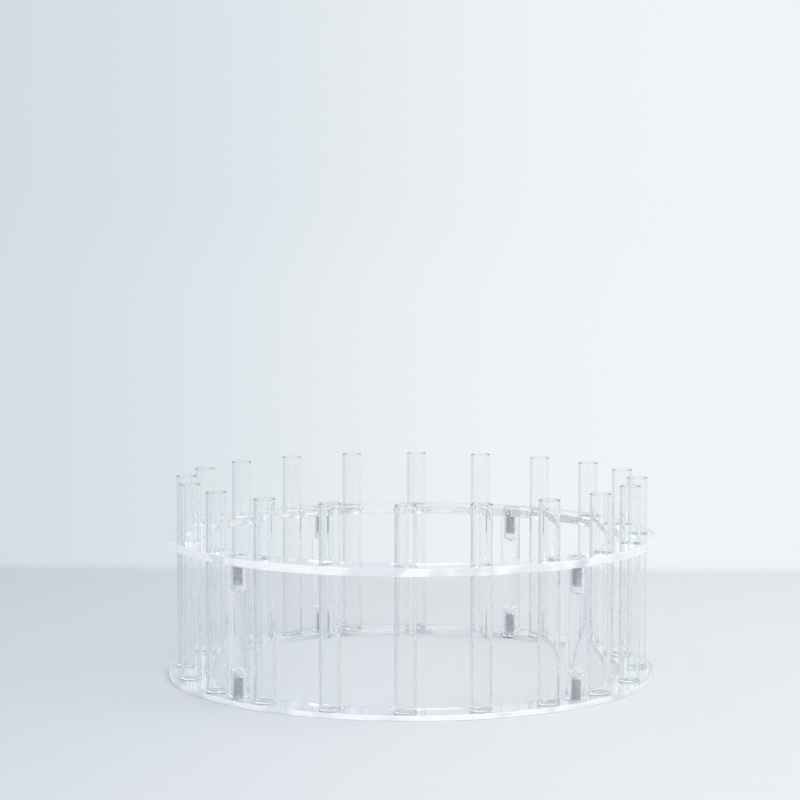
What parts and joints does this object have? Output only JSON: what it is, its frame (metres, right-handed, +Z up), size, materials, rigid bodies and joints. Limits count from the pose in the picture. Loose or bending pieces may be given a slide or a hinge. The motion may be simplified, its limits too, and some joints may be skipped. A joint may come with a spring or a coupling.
{
  "type": "test tube vase",
  "caption": "Ring-shaped vase of flat-bottomed glass tubes held upright between two clear rings on screwed clear posts; each tube lifts out.",
  "frame": {"origin": "centre of the ring on the underside of the base ring, on the table", "axes": "+Z up along the ring's axis, -Y towards the picture's camera, +X to its right"},
  "size_m": [0.377, 0.377, 0.1526],
  "materials": {
    "clear_acrylic": "clear cast acrylic with polished faces and edges",
    "tube_glass": "clear drawn glass, fire-polished rim",
    "screw_steel": "plain stainless steel"
  },
  "bodies": {
    "stand": {"base_ring": "clear_acrylic", "upper_ring_front": "clear_acrylic", "upper_ring_right": "clear_acrylic", "upper_ring_rear": "clear_acrylic", "upper_ring_left": "clear_acrylic", "post_right_front": "clear_acrylic", "post_right_rear": "clear_acrylic", "post_left_rear": "clear_acrylic", "post_left_front": "clear_acrylic", "base_screws": "screw_steel", "top_screws": "screw_steel"},
    "tube_01_body": {"tube_01": "tube_glass"},
    "tube_02_body": {"tube_02": "tube_glass"},
    "tube_03_body": {"tube_03": "tube_glass"},
    "tube_04_body": {"tube_04": "tube_glass"},
    "tube_05_body": {"tube_05": "tube_glass"},
    "tube_06_body": {"tube_06": "tube_glass"},
    "tube_07_body": {"tube_07": "tube_glass"},
    "tube_08_body": {"tube_08": "tube_glass"},
    "tube_09_body": {"tube_09": "tube_glass"},
    "tube_10_body": {"tube_10": "tube_glass"},
    "tube_11_body": {"tube_11": "tube_glass"},
    "tube_12_body": {"tube_12": "tube_glass"},
    "tube_13_body": {"tube_13": "tube_glass"},
    "tube_14_body": {"tube_14": "tube_glass"},
    "tube_15_body": {"tube_15": "tube_glass"},
    "tube_16_body": {"tube_16": "tube_glass"},
    "tube_17_body": {"tube_17": "tube_glass"},
    "tube_18_body": {"tube_18": "tube_glass"},
    "tube_19_body": {"tube_19": "tube_glass"},
    "tube_20_body": {"tube_20": "tube_glass"}
  },
  "joints": [
    {"name": "tube_01_lift", "type": "slide", "parent": "stand", "child": "tube_01_body", "axis": [0, 0, 1], "range_m": [0, 0.11]},
    {"name": "tube_02_lift", "type": "slide", "parent": "stand", "child": "tube_02_body", "axis": [0, 0, 1], "range_m": [0, 0.11]},
    {"name": "tube_03_lift", "type": "slide", "parent": "stand", "child": "tube_03_body", "axis": [0, 0, 1], "range_m": [0, 0.11]},
    {"name": "tube_04_lift", "type": "slide", "parent": "stand", "child": "tube_04_body", "axis": [0, 0, 1], "range_m": [0, 0.11]},
    {"name": "tube_05_lift", "type": "slide", "parent": "stand", "child": "tube_05_body", "axis": [0, 0, 1], "range_m": [0, 0.11]},
    {"name": "tube_06_lift", "type": "slide", "parent": "stand", "child": "tube_06_body", "axis": [0, 0, 1], "range_m": [0, 0.11]},
    {"name": "tube_07_lift", "type": "slide", "parent": "stand", "child": "tube_07_body", "axis": [0, 0, 1], "range_m": [0, 0.11]},
    {"name": "tube_08_lift", "type": "slide", "parent": "stand", "child": "tube_08_body", "axis": [0, 0, 1], "range_m": [0, 0.11]},
    {"name": "tube_09_lift", "type": "slide", "parent": "stand", "child": "tube_09_body", "axis": [0, 0, 1], "range_m": [0, 0.11]},
    {"name": "tube_10_lift", "type": "slide", "parent": "stand", "child": "tube_10_body", "axis": [0, 0, 1], "range_m": [0, 0.11]},
    {"name": "tube_11_lift", "type": "slide", "parent": "stand", "child": "tube_11_body", "axis": [0, 0, 1], "range_m": [0, 0.11]},
    {"name": "tube_12_lift", "type": "slide", "parent": "stand", "child": "tube_12_body", "axis": [0, 0, 1], "range_m": [0, 0.11]},
    {"name": "tube_13_lift", "type": "slide", "parent": "stand", "child": "tube_13_body", "axis": [0, 0, 1], "range_m": [0, 0.11]},
    {"name": "tube_14_lift", "type": "slide", "parent": "stand", "child": "tube_14_body", "axis": [0, 0, 1], "range_m": [0, 0.11]},
    {"name": "tube_15_lift", "type": "slide", "parent": "stand", "child": "tube_15_body", "axis": [0, 0, 1], "range_m": [0, 0.11]},
    {"name": "tube_16_lift", "type": "slide", "parent": "stand", "child": "tube_16_body", "axis": [0, 0, 1], "range_m": [0, 0.11]},
    {"name": "tube_17_lift", "type": "slide", "parent": "stand", "child": "tube_17_body", "axis": [0, 0, 1], "range_m": [0, 0.11]},
    {"name": "tube_18_lift", "type": "slide", "parent": "stand", "child": "tube_18_body", "axis": [0, 0, 1], "range_m": [0, 0.11]},
    {"name": "tube_19_lift", "type": "slide", "parent": "stand", "child": "tube_19_body", "axis": [0, 0, 1], "range_m": [0, 0.11]},
    {"name": "tube_20_lift", "type": "slide", "parent": "stand", "child": "tube_20_body", "axis": [0, 0, 1], "range_m": [0, 0.11]}
  ]
}
